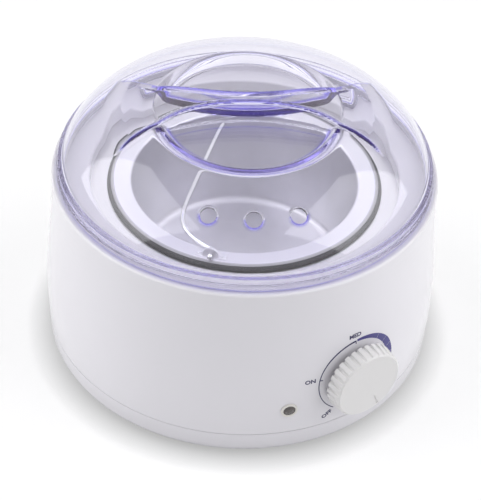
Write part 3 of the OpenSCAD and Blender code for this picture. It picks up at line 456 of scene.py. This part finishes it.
def lid_distance(s):
    """Two functions of a point in the lid's own frame, in mm: its distance to the lid's skin and how strongly
    it is painted with violet light and shade near an edge. The handle runs along X, and the vents are on
    the -Y side."""

    def dome_height(r):
        return s.dome_base + s.dome_rise * np.maximum(1 - (r / s.dome_radius) ** s.dome_fullness, 0.0) ** (
            1 / s.dome_flatness)

    def crown(r):
        """Height of the handle's top."""
        along_fin = np.clip((r - s.grip_reach + FIN_LENGTH) / FIN_LENGTH, 0, 1)
        stand = s.grip_stand - (s.grip_stand + FIN_SINK) * along_fin
        bridge = s.grip_top - s.grip_fall * (r / (s.dish_radius + BRIM)) ** 4
        return np.maximum(bridge, dome_height(r) + stand)

    def dome(r, z, inset):
        """Distance to the dome, or to its inner face if inset by the wall."""
        rise, width = s.dome_rise - inset, s.dome_radius - inset
        up = np.maximum(z - s.dome_base, 0.0) / rise
        out = r / width
        value = out ** s.dome_fullness + up ** s.dome_flatness - 1
        slope = np.hypot(s.dome_fullness * out ** (s.dome_fullness - 1) / width,
                         s.dome_flatness * up ** (s.dome_flatness - 1) / rise)
        return value / np.maximum(slope, 0.02)

    def dish_wall(x, y, height):
        """How far a point is outside the finger dish's leaning wall, measured level."""
        return np.hypot(x * s.dish_oval, y) - s.dish_radius - height * s.dish_slope

    def dish(x, y, z, inset):
        """Distance to the finger dish, above whose floor the lid is cut away."""
        wall = (dish_wall(x, y, z - s.dish_floor + inset) - inset) / math.hypot(1, s.dish_slope)
        return soft_max(s.dish_floor - inset - z, wall, s.dish_round + inset)

    def grip_side(x, y):
        """How far a point is outside the handle's waisted sides."""
        return s.grip_bow - np.hypot(x, np.abs(y) - s.grip_width / 2 - s.grip_bow)

    def grip(x, y, r, z, inset):
        """Distance to the handle, or to the hollow inside it if inset by the wall."""
        side = grip_side(x, y) + inset
        top = z - crown(r) + inset * (1 + np.clip((r - GROOVE_R) / GROOVE_RUN, 0, 1))
        block = np.maximum(soft_max(side, top, s.edge_round), r - s.grip_reach + inset)
        return np.maximum(block, s.dish_floor - GRIP_DEPTH - z)

    def vents(x, y, z):
        """Distance to the nearest of the three vent holes."""
        holes = []
        for k in (-1, 0, 1):
            turn = math.radians(k * s.vent_step - 90)
            outward = np.array([math.cos(turn), math.sin(turn), 0.0])
            middle = s.vent_ring * outward + (0.0, 0.0, dome_height(s.vent_ring))
            axis = math.sin(VENT_LEAN) * outward + (0.0, 0.0, math.cos(VENT_LEAN))
            p = [q - m for q, m in zip((x, y, z), middle)]
            along = sum(q * d for q, d in zip(p, axis))
            holes.append(np.sqrt(np.maximum(sum(q * q for q in p) - along * along, 0.0)) - s.vent_radius)
        return np.minimum.reduce(holes)

    def distance(x, y, z):
        """Distance to the lid's skin, below 0 inside the plastic."""
        r = np.hypot(x, y)
        softness = s.dish_lip * np.clip(0.75 - y / LIP_RUN, 0.5, 1)
        skin = soft_max(dome(r, z, 0), -dish(x, y, z, 0), softness)
        fade = np.clip((r - s.dish_radius + FOOT_BEFORE) / FOOT_RUN, 0, 1)
        skin = soft_min(skin, grip(x, y, r, z, 0), s.grip_foot + (SHARP - s.grip_foot) * fade)
        rim = soft_max(r - s.rim_radius, z - s.rim_base - RIM_HEIGHT, RIM_ROUND)
        step = soft_max(r - s.rim_radius + STEP_IN, z - s.rim_base - STEP_HEIGHT, STEP_ROUND)
        skin = soft_min(soft_min(skin, step, STEP_JOIN), rim, STEP_JOIN)
        skin = soft_max(skin, s.rim_base - z, FACE_ROUND)
        hollow = soft_max(dome(r, z, s.wall), -dish(x, y, z, s.wall), softness)
        hollow = soft_max(hollow, r - s.lip_radius + LIP_WALL, SHARP)
        skin = soft_max(skin, -hollow, SHARP)
        skin = soft_max(skin, -grip(x, y, r, z, s.wall), SHARP)
        ring = np.maximum(r - s.lip_radius, s.lip_radius - LIP_WALL - r)
        ends = np.maximum(s.rim_base - LIP_DEPTH - z, z - s.rim_base - LIP_ROOT)
        skin = soft_min(skin, soft_max(ring, ends, SHARP), 0.4)
        return soft_max(skin, -vents(x, y, z), VENT_ROUND)

    def mark(where, off, width, loss=0.0):
        """An edge: where it shows, how far off a point is, its half width and how much it is weakened."""
        return np.where(where, off / width + loss, UNMARKED)

    def edge(x, y, z):
        """How strongly a point is painted with violet light and shade near an edge, from 0 to 1."""
        r = np.hypot(x, y)
        side, top, floor = grip_side(x, y), crown(r) - z, z - s.dish_floor
        wall = dish_wall(x, y, floor)
        rear, in_dish, beside = y > 0, r < s.dish_radius + 3, side > -0.5
        sweep = (x / CAUGHT_REACH) ** 2
        half = np.maximum(CAUGHT_HALF * (1 - sweep / 1.2), 0.05)
        painted_band = np.abs(floor - CAUGHT_Z - CAUGHT_RISE * sweep) / half
        ends = np.clip((r - s.grip_reach + 8) / 5, 0, 1)
        corner = 0.55 + 0.9 * np.minimum(np.abs(x) / CORNER_REACH, 1) ** 3
        low = (floor > -1) & (floor < 6)
        marks = [
            # painted violet lines: the handle's upper edges, then its top along the rear one
            mark(r < s.grip_reach - 1, np.hypot(side, top), 0.9, 3 * ends),
            mark(rear & (r < s.dish_radius + 6) & (side < 0),
                 np.hypot(np.maximum(-side - 2.2, 0), top), 0.7, 0.4),
            # painted lines in the rear dish: its floor along the handle's foot, and the foot of its wall
            mark(rear & in_dish & beside, np.hypot(np.maximum(side - 2.4, 0), floor), 0.8),
            mark(rear & beside & (side < 4) & low, np.abs(wall), 1.1),
            # painted lines in the front dish: the corner all along its floor, thicker at the ends, and a line
            # before the foot
            mark(~rear & beside, np.hypot(wall, floor), corner, 0.15),
            mark(~rear & in_dish, np.hypot(side - 5, floor), 0.6, 0.5),
            # painted light standing for light caught in the handle's sides, in a band that rises towards the
            # ends
            mark(sweep < 1.15, np.hypot(side / 0.9, painted_band), 1.0, 0.2),
            # painted lines at the rim's lower corner and the vents' outer walls
            mark(r > 0, np.hypot(r - s.rim_radius, z - s.rim_base), 0.9),
            mark(r > s.vent_ring, np.abs(vents(x, y, z)), 0.9)]
        return np.exp(-np.minimum.reduce(marks) ** 2)

    return distance, edge


def body_radius(z):
    """Outer radius of the housing at height z, in mm."""
    if z > BELLY_Z:
        return TOP_R + (BELLY_R - TOP_R) * (1 + math.cos(math.pi * (z - BELLY_Z) / (TOP_Z - BELLY_Z))) / 2
    return BELLY_R - (BELLY_R - FOOT_R) * ((BELLY_Z - z) / BELLY_Z) ** 2


def on_wall(across, z, lift):
    """Point on the housing's front wall at a distance across from the knob's axis, in metres."""
    r = body_radius(z) + lift
    return Vector((across, -math.sqrt(r * r - across * across), z)) * MM


def wall_print(name, outlines, material, thickness=0.05):
    """Printed shapes as thin closed skins that follow the wall. Each outline holds its points, in mm across
    from the knob's axis and up from the table, and its polygons."""
    points, faces = [], []
    for flat, polygons in outlines:
        start, n = len(points), len(flat)
        for lift in (thickness, -thickness):
            points += [on_wall(u, v, lift) for u, v in flat]
        edges = {}
        for polygon in polygons:
            faces.append([start + i for i in polygon])
            faces.append([start + n + i for i in reversed(polygon)])
            for a, b in zip(polygon, polygon[1:] + polygon[:1]):
                edges[(a, b)] = (b, a) not in edges
                if (b, a) in edges:
                    edges[(b, a)] = False
        for (a, b), free in edges.items():
            if free:
                faces.append([start + b, start + a, start + n + a, start + n + b])
    return new_piece(name, points, faces, material, "housing_body", "white_shell", smooth=False)


def band(knob_z, start, end, inner, outer, steps):
    """Part of a ring about the knob's axis. Angles run clockwise from the top, and the radii are functions of
    how far along it is, from 0 to 1."""
    flat, polygons = [], []
    for i in range(steps + 1):
        t = i / steps
        a = math.radians(start + (end - start) * t)
        for r in (inner(t), outer(t)):
            flat.append((r * math.sin(a), knob_z + r * math.cos(a)))
    for i in range(steps):
        polygons.append([2 * i, 2 * i + 1, 2 * i + 3, 2 * i + 2][::-1])
    return flat, polygons


def lettering(text, height, across, z, turn):
    """Outline of a short word, centred at a place on the wall and turned anticlockwise by turn."""
    curve = bpy.data.curves.new(text, "FONT")
    curve.body, curve.size, curve.resolution_u = text, height / CAPITAL_HEIGHT, 3
    curve.align_x = curve.align_y = "CENTER"
    curve.offset = BOLDEN * height
    holder = bpy.data.objects.new(text, curve)
    mesh = bpy.data.meshes.new_from_object(holder)
    c, s = math.cos(math.radians(turn)), math.sin(math.radians(turn))
    flat = [(across + c * v.co.x * WIDEN - s * v.co.y, z + s * v.co.x * WIDEN + c * v.co.y)
            for v in mesh.vertices]
    polygons = [list(p.vertices) for p in mesh.polygons]
    bpy.data.objects.remove(holder)
    bpy.data.curves.remove(curve)
    bpy.data.meshes.remove(mesh)
    return flat, polygons


def wire(name, route, radius, material, body, slot, sides=20):
    """A round wire along route, in mm, with closed ends."""
    route = [Vector(p) for p in route]
    points, faces = [], []
    guide = Vector((0, 0, 1))
    for i, p in enumerate(route):
        along = (route[min(i + 1, len(route) - 1)] - route[max(i - 1, 0)]).normalized()
        guide = (guide - guide.dot(along) * along).normalized()
        other = along.cross(guide)
        for k in range(sides):
            a = math.tau * k / sides
            points.append((p + radius * (math.cos(a) * guide + math.sin(a) * other)) * MM)
    for i in range(len(route) - 1):
        for k in range(sides):
            a, b = i * sides + k, i * sides + (k + 1) % sides
            faces.append([a, b, b + sides, a + sides])
    faces += [list(range(sides))[::-1], [len(points) - sides + k for k in range(sides)]]
    return new_piece(name, points, faces, material, body, slot)


# ---------------------------------------------------------------- settings

def number(name, description, default, unit="NONE"):
    return FloatProperty(name=name, description=description, default=default, unit=unit)


def colour(name, description, default):
    return FloatVectorProperty(name=name, description=description, default=default, subtype="COLOR",
                               min=0.0, max=1.0, size=3)


class WarmerColours(PropertyGroup):
    """Colours of the pieces that show"""
    shell: colour("Shell", "Glossy white plastic of the housing and base", (0.855, 0.840, 0.885))
    knob: colour("Knob", "White plastic of the knob", (0.82, 0.81, 0.81))
    ink: colour("Dial band", "Ink of the dial's band", (0.060, 0.052, 0.235))
    ink_dark: colour("Dial line", "Ink of the dial's line and lettering", (0.022, 0.020, 0.095))
    lid: colour("Lid tint", "Tint of the clear lid's plastic", (0.42, 0.36, 0.90))
    # painted glow: the lid's plastic gives out light of its own, standing in for light trapped on long paths
    # inside it
    glow: colour("Lid glow", "Light that the lid's plastic gives back on a long path", (0.060, 0.030, 0.420))
    # painted edge colour of the lid, standing in for refracted dark lines in the plastic
    edges: colour("Lid edges", "Tint of the lid's edges", (0.050, 0.030, 0.420))
    painted_edge_glow: colour("Lid edge glow", "Light that comes out of the lid's edges", (0.035, 0.025, 0.200))
    pot: colour("Pot", "Aluminium of the lift-out pot", (0.93, 0.92, 0.98))
    well: colour("Well", "Aluminium of the heating well", (0.82, 0.81, 0.84))
    wire: colour("Bail", "Bright wire of the bail", (0.88, 0.88, 0.90))
    lens: colour("Lamp lens", "Smoked lens of the pilot lamp", (0.055, 0.045, 0.042))


class LidSizes(PropertyGroup):
    """Sizes of the clear lid, in millimetres"""
    pitch: number("Mesh pitch", "Distance between the lid's mesh points", 0.8)
    turn: number("Turn", "Direction of the handle from +X, in degrees", -32.0)
    wall: number("Wall", "Thickness of the lid", 2.2)
    rim_radius: number("Rim radius", "Radius of the rim", 86.0)
    rim_base: number("Rim base", "Height of the rim's lower face", 94.8)
    lip_radius: number("Lip radius", "Radius of the lip inside the body's edge", 83.8)
    dome_radius: number("Dome radius", "Radius of the dome at its foot", 84.7)
    dome_base: number("Dome base", "Height at which the dome starts to close", 97.4)
    dome_rise: number("Dome rise", "Height of the dome over its base", 31.1)
    dome_fullness: number("Dome fullness", "How square the dome is near its rim", 4.24)
    dome_flatness: number("Dome flatness", "How the dome flattens towards its top", 1.48)
    dish_radius: number("Dish radius", "Radius of the finger dish at its floor", 39.2)
    dish_oval: number("Dish oval", "How much shorter the finger dish is along the handle", 1.05)
    dish_floor: number("Dish floor", "Height of the finger dish's floor", 123.5)
    dish_slope: number("Dish slope", "How far the dish's wall leans for each mm of height", 0.287)
    dish_round: number("Dish rounding", "Size of the corner between the dish's floor and wall", 0.9)
    dish_lip: number("Dish lip", "Size of the rounding between the dish and the dome", 7.0)
    grip_width: number("Grip width", "Width of the handle at its middle", 7.9)
    grip_bow: number("Grip bow", "Radius of the handle's waisted sides", 84.0)
    grip_top: number("Grip top", "Height of the handle's top", 133.5)
    grip_fall: number("Grip fall", "Fall of the handle's top at the dish's edge", 5.6)
    grip_reach: number("Grip reach", "Radius that the handle's sides run out to", 69.0)
    grip_stand: number("Grip stand", "Height of the handle's ends over the dome", 1.5)
    grip_foot: number("Grip foot", "Size of the hollow corner along the handle's foot", 1.6)
    edge_round: number("Edge rounding", "Size of the rounding on the lid's edges", 0.7)
    vent_ring: number("Vent ring", "Distance from the axis to a vent hole", 68.0)
    vent_radius: number("Vent radius", "Radius of a vent hole", 3.5)
    vent_step: number("Vent step", "Angle between two vent holes, in degrees", 16.3)


class DialSizes(PropertyGroup):
    """Sizes of the print round the knob, in millimetres and degrees clockwise from the top"""
    knob_z: number("Knob height", "Height of the knob's axis", 39.0)
    line_radius: number("Line radius", "Radius of the dial's thin line", 19.4)
    line_width: number("Line width", "Width of the dial's thin line", 0.42)
    line_start: number("Line start", "Where the thin line starts, at off", 216.0)
    on_turn: number("On tick", "Where the on tick stands", 280.5)
    med_turn: number("Medium tick", "Where the medium tick stands", 356.0)
    band_end: number("Band end", "Where the widening band ends, at full heat", 504.0)
    band_width: number("Band width", "Width of the band at full heat", 3.5)
    letter_height: number("Letter height", "Height of the lettering", 2.1)


class StudioSettings(PropertyGroup):
    """Camera, lamps and floor"""
    azimuth: number("Azimuth", "Camera's direction round the object, in degrees", -36.0)
    elevation: number("Elevation", "Camera's height angle, in degrees", 40.45)
    distance: number("Distance", "Camera's distance from its target", 0.7748, "LENGTH")
    target: number("Target height", "Height that the camera looks at", 0.0541, "LENGTH")
    roll: number("Roll", "Camera's roll, in degrees", 2.81)
    lens: number("Lens", "Focal length in millimetres", 117.98)
    shift_x: number("Shift X", "Sideways shift of the frame", -0.003)
    shift_y: number("Shift Y", "Upward shift of the frame", -0.0342)
    side_power: number("Side lamps", "Power of each side lamp in watts", 12.0)
    top_power: number("Top lamp", "Power of the lamp overhead in watts", 2.4)
    ambient: number("Ambient", "Strength of the even light from all round", 0.29)
    floor_size: number("Floor size", "Width of the floor", 8.0, "LENGTH")
    floor_glow: number("Floor glow", "Strength of the light that the floor gives where it is looked at", 1.45)
    floor_share: number("Floor glow share", "How much of the floor's look comes from that light", 0.3)
    # painted shadow: the floor's colour is darkened round the base
    shade_reach: number("Shade reach", "Radius to which the floor is shaded round the base", 0.104, "LENGTH")
    shade_width: number("Shade width", "Width over which that shade fades out", 0.016, "LENGTH")
    far_start: number("White start", "Radius at which the floor starts to turn plain white", 0.25, "LENGTH")
    far_width: number("White width", "Width over which it does", 0.35, "LENGTH")


# ---------------------------------------------------------------- pieces

class WARMER_OT_shell(Operator):
    """Finish of the housing, base pan, feet and their screws"""
    bl_idname = "warmer.shell"
    bl_label = "Shell"

    def execute(self, context):
        colours = context.scene.warmer_colours
        dress(moulded_plastic("gloss_white_shell", colours.shell, 0.22, coat=0.25), "housing", "base_pan")
        dress(soft_rubber("black_foot_rubber", (0.03, 0.03, 0.032), 0.6), "feet")
        dress(cast_metal("zinc_screw", (0.62, 0.62, 0.60), 0.32), "base_screws", "well_screws", "clamp_screw",
              "shield_screws")
        return {"FINISHED"}


class WARMER_OT_dial(Operator):
    """Arc, ticks, band and lettering printed on the wall round the knob"""
    bl_idname = "warmer.dial"
    bl_label = "Dial print"

    def execute(self, context):
        s = context.scene.warmer_dial
        colours = context.scene.warmer_colours
        radius, half = s.line_radius, s.line_width / 2

        def line(start, end, inner, outer, steps):
            return band(s.knob_z, start, end, lambda t: inner, lambda t: outer, steps)

        shapes = [line(s.line_start, s.on_turn, radius - half, radius + half, 40),
                  band(s.knob_z, s.on_turn, s.med_turn - 0.6, lambda t: radius - half * (1 + t),
                       lambda t: radius + half * (1 + t), 40)]
        for turn in (s.on_turn, s.med_turn):
            shapes.append(line(turn - TICK_TURN, turn + TICK_TURN, radius - TICK_LENGTH, radius + half + 0.02,
                               2))
        for word, turn, reach, tilt in WORDS:
            across, up = reach * math.sin(math.radians(turn)), reach * math.cos(math.radians(turn))
            shapes.append(lettering(word, s.letter_height, across, s.knob_z + up, tilt))
        wall_print("dial_print", shapes, printed_ink("dark_print", colours.ink_dark))

        first = s.med_turn + BAND_GAP

        def width(turn):
            return s.band_width * min(1.0, BAND_FIRST + (1 - BAND_FIRST) * ((turn - first) / BAND_GROWTH))

        cuts = (first,) + BAND_CUTS + (s.band_end,)
        shapes = [band(s.knob_z, a, b - CUT_TURN, lambda t: radius - BAND_INWARD * width(a + (b - a) * t),
                       lambda t: radius + (1 - BAND_INWARD) * width(a + (b - a) * t), 14)
                  for a, b in zip(cuts, cuts[1:])]
        wall_print("dial_band", shapes, printed_ink("indigo_print", colours.ink))
        return {"FINISHED"}


class WARMER_OT_knob(Operator):
    """Finish of the knob and the thermostat's shaft, nut and case"""
    bl_idname = "warmer.knob"
    bl_label = "Knob"

    def execute(self, context):
        colours = context.scene.warmer_colours
        dress(moulded_plastic("white_knob_plastic", colours.knob, 0.34), "knob")
        dress(cast_metal("steel_shaft", (0.66, 0.66, 0.67), 0.25), "thermostat_shaft", "thermostat_nut")
        dress(moulded_plastic("ceramic_case", (0.80, 0.78, 0.74), 0.4, relief=0.04), "thermostat",
              "lamp_holder")
        return {"FINISHED"}


class WARMER_OT_lamp(Operator):
    """Finish of the pilot lamp"""
    bl_idname = "warmer.lamp"
    bl_label = "Pilot lamp"

    def execute(self, context):
        colours = context.scene.warmer_colours
        dress(smoked_lens("smoked_lamp_lens", colours.lens), "pilot_lens")
        dress(clear_plastic("neon_glass", (0.95, 0.55, 0.25), 60.0), "neon_bulb")
        return {"FINISHED"}


class WARMER_OT_well(Operator):
    """Finish of the heating well and what is fixed round it"""
    bl_idname = "warmer.well"
    bl_label = "Heating well"

    def execute(self, context):
        colours = context.scene.warmer_colours
        dress(turned_metal("spun_well_aluminium", colours.well, 0.32, 0.3), "heating_well")
        dress(layered_mica("mica_sheet", (0.45, 0.36, 0.24)), "heater_band")
        dress(cast_metal("zinc_plated_steel", (0.58, 0.58, 0.57), 0.4), "band_clamp", "phial_clip",
              "fuse_clip", "heat_shield")
        dress(glass_wool("glass_wool", (0.80, 0.72, 0.42)), "insulation")
        dress(cast_metal("drawn_copper", (0.72, 0.36, 0.22), 0.35), "sensor_phial", "capillary")
        dress(moulded_plastic("fuse_ceramic", (0.62, 0.52, 0.38), 0.5, relief=0.05), "thermal_fuse")
        return {"FINISHED"}


class WARMER_OT_wiring(Operator):
    """Finish of the leads, terminals, earth point and cord inlet"""
    bl_idname = "warmer.wiring"
    bl_label = "Wiring"

    def execute(self, context):
        dress(moulded_plastic("ivory_block", (0.80, 0.76, 0.64), 0.45, relief=0.03), "terminal_block")
        dress(cast_metal("brass", (0.72, 0.52, 0.22), 0.3), "terminal_screws", "earth_tag", "earth_screw")
        dress(cast_metal("small_zinc_screw", (0.60, 0.60, 0.58), 0.35), "block_screws")
        dress(soft_rubber("silicone_lead", (0.42, 0.05, 0.04), 0.5), "heater_leads")
        dress(soft_rubber("grey_lead", (0.16, 0.16, 0.17), 0.5), "lamp_leads")
        dress(woven_sleeve("green_yellow_lead", (0.12, 0.42, 0.08), (0.78, 0.66, 0.06)), "earth_lead")
        dress(moulded_plastic("gland_plastic", (0.84, 0.83, 0.82), 0.42, relief=0.04), "cord_gland",
              "gland_nut")
        return {"FINISHED"}


class WARMER_OT_pot(Operator):
    """Finish of the lift-out pot, its ears and rivets, and its bail of bright wire"""
    bl_idname = "warmer.pot"
    bl_label = "Pot and bail"

    def execute(self, context):
        colours = context.scene.warmer_colours
        # beyond FLANGE_R the pot's flange gets painted shade in its colour
        dress(turned_metal("spun_pot_aluminium", colours.pot, 0.5, 0.22, edge=FLANGE_R), "pot")
        dress(cast_metal("ear_sheet", (0.92, 0.91, 0.96), 0.5), "bail_ears")
        dress(cast_metal("rivet_aluminium", (0.90, 0.90, 0.94), 0.42), "ear_rivets")
        bright = cast_metal("bright_bail_wire", colours.wire, 0.14, 1400, 0.008)
        dress(bright, "bail")
        turn, half, end = math.radians(BAIL_TURN), BAIL_HALF, BAIL_END
        bow = []
        for i in range(-60, 61):
            x = half * math.sin(math.pi / 2 * i / 60)
            bow.append((x, BAIL_RISE * (1 - abs(x / half) ** BAIL_FULLNESS)))
        pin = [(half + 1.5, 0.0), (end - 2, 0.0), (end, 0.0)]
        route = [(-x, y) for x, y in pin[::-1]] + bow + pin
        placed = [(x * math.cos(turn) - y * math.sin(turn), x * math.sin(turn) + y * math.cos(turn), BAIL_Z)
                  for x, y in route]
        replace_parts(wire("bail_wire", placed, BAIL_RADIUS, bright, "bail_body", "bail_wire"), "bail")
        return {"FINISHED"}


class WARMER_OT_lid(Operator):
    """Clear moulded lid with its handle, finger dishes, rim, lip and vent holes"""
    bl_idname = "warmer.lid"
    bl_label = "Clear lid"

    def execute(self, context):
        s = context.scene.warmer_lid
        colours = context.scene.warmer_colours
        clear = clear_plastic("violet_clear_plastic", colours.lid, LID_DENSITY, colours.glow, colours.edges,
                              colours.painted_edge_glow)
        dress(clear, "lid")
        reach = s.rim_radius + 1.5
        low, high = (-reach, -reach, s.rim_base - 4.3), (reach, reach, s.grip_top + 1.0)
        distance, edge = lid_distance(s)
        points, faces, normals = surface_mesh(distance, low, high, s.pitch)
        cos, sin = math.cos(math.radians(s.turn)), math.sin(math.radians(s.turn))
        spin = np.array([[cos, -sin, 0], [sin, cos, 0], [0, 0, 1]])
        # the edge attribute holds where violet light and shade are painted on the lid
        lid = new_piece("clear_lid", points @ spin.T * MM, faces, clear, "lid_body", "lid_clear",
                        normals @ spin.T, edges=edge(*points.T))
        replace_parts(lid, "lid")
        return {"FINISHED"}


class WARMER_OT_stage(Operator):
    """Pale floor with a painted shadow round the base, soft lamps, even surroundings and the camera"""
    bl_idname = "warmer.stage"
    bl_label = "Stage"

    def execute(self, context):
        s = context.scene.warmer_studio
        scene = context.scene
        half = s.floor_size / 2
        ground = Finish("pale_floor")
        seen = ground.seen()
        grain = ground.noise(40)
        # Painted shadow: the floor's colour darkens towards the base, a contact shadow painted on
        painted_shadow_mask = ((s.shade_reach - ground.radius()) * (1 / s.shade_width)).maths("MINIMUM", 1.0, clamp=True)
        pale = ground.blend(grain, (0.90, 0.90, 0.90, 1), (0.92, 0.92, 0.92, 1))
        painted_shadow_colour = ground.blend(painted_shadow_mask, pale, (0.22, 0.22, 0.225, 1))
        matt = ground.node("ShaderNodeBsdfDiffuse", {}, {"Color": painted_shadow_colour})
        glow = ground.node("ShaderNodeEmission", {}, {"Color": WHITE, "Strength": s.floor_glow})
        white = ground.node("ShaderNodeEmission", {}, {"Color": WHITE, "Strength": 1.0})
        far = ((ground.radius() - s.far_start) * (1 / s.far_width)).maths("MINIMUM", 1.0, clamp=True)
        mixed = ground.node("ShaderNodeMixShader", {}, {0: seen * s.floor_share, 1: matt, 2: glow})
        mixed = ground.node("ShaderNodeMixShader", {}, {0: seen * far, 1: mixed, 2: white})
        ground.node("ShaderNodeOutputMaterial", {}, {"Surface": mixed})
        mesh = bpy.data.meshes.new("floor")
        corners = [(-half, -half, 0), (half, -half, 0), (half, half, 0), (-half, half, 0)]
        mesh.from_pydata(corners, [], [(0, 1, 2, 3)])
        mesh.materials.append(ground.material)
        floor = bpy.data.objects.new("floor", mesh)
        scene.collection.objects.link(floor)

        world = bpy.data.worlds.new("studio")
        world.use_nodes = True
        scene.world = world
        air = Finish("studio", world.node_tree)
        even = air.node("ShaderNodeBackground", {}, {"Color": (0.97, 0.97, 1.0, 1), "Strength": s.ambient})
        white = air.node("ShaderNodeBackground", {}, {"Color": WHITE, "Strength": 1.0})
        both = air.node("ShaderNodeMixShader", {}, {0: air.seen(), 1: even, 2: white})
        air.node("ShaderNodeOutputWorld", {}, {"Surface": both})

        turn = math.radians(s.azimuth)
        for name, place, size, power in (
                ("left_softbox", (-1.05, -0.10, 0.85), (1.5, 1.5), s.side_power),
                ("right_softbox", (1.05, -0.10, 0.85), (1.5, 1.5), s.side_power),
                ("top_softbox", (0.0, 0.25, 1.25), (1.8, 1.5), s.top_power)):
            lamp = bpy.data.lights.new(name, "AREA")
            lamp.shape, lamp.size, lamp.size_y, lamp.energy = "RECTANGLE", size[0], size[1], power
            holder = bpy.data.objects.new(name, lamp)
            holder.location = Quaternion((0, 0, 1), turn) @ Vector(place)
            holder.rotation_euler = (LAMP_AIM - holder.location).to_track_quat("-Z", "Y").to_euler()
            scene.collection.objects.link(holder)

        camera = bpy.data.cameras.new("camera")
        camera.lens, camera.sensor_width = s.lens, 36.0
        camera.shift_x, camera.shift_y = s.shift_x, s.shift_y
        camera.clip_start, camera.clip_end = 0.01, 50.0
        view = bpy.data.objects.new("camera", camera)
        rise = math.radians(s.elevation)
        away = Vector((math.cos(rise) * math.sin(turn), -math.cos(rise) * math.cos(turn), math.sin(rise)))
        view.location = Vector((0, 0, s.target)) + s.distance * away
        view.rotation_mode = "QUATERNION"
        rolled = Quaternion((0, 0, 1), math.radians(s.roll))
        view.rotation_quaternion = (-away).to_track_quat("-Z", "Y") @ rolled
        scene.collection.objects.link(view)
        scene.camera = view
        scene.view_settings.view_transform = "Standard"
        return {"FINISHED"}


PIECES = (WARMER_OT_shell, WARMER_OT_dial, WARMER_OT_knob, WARMER_OT_lamp, WARMER_OT_well, WARMER_OT_wiring,
          WARMER_OT_pot, WARMER_OT_lid, WARMER_OT_stage)
SETTINGS = {"warmer_colours": WarmerColours, "warmer_lid": LidSizes, "warmer_dial": DialSizes,
            "warmer_studio": StudioSettings}


class WARMER_PT_parts(Panel):
    """Lists the wax warmer's pieces and stage"""
    bl_label = "Wax Warmer"
    bl_idname = "WARMER_PT_parts"
    bl_space_type = "VIEW_3D"
    bl_region_type = "UI"
    bl_category = "Wax Warmer"

    def draw(self, context):
        for piece in PIECES:
            self.layout.operator(piece.bl_idname)


def register():
    for settings in SETTINGS.values():
        bpy.utils.register_class(settings)
    for piece in PIECES + (WARMER_PT_parts,):
        bpy.utils.register_class(piece)
    for name, settings in SETTINGS.items():
        setattr(bpy.types.Scene, name, PointerProperty(type=settings))


def unregister():
    for name in SETTINGS:
        delattr(bpy.types.Scene, name)
    for piece in (WARMER_PT_parts,) + PIECES[::-1]:
        bpy.utils.unregister_class(piece)
    for settings in SETTINGS.values():
        bpy.utils.unregister_class(settings)


def main():
    register()
    for piece in PIECES:
        group, name = piece.bl_idname.split(".")
        getattr(getattr(bpy.ops, group), name)()


if __name__ == "__main__":
    main()
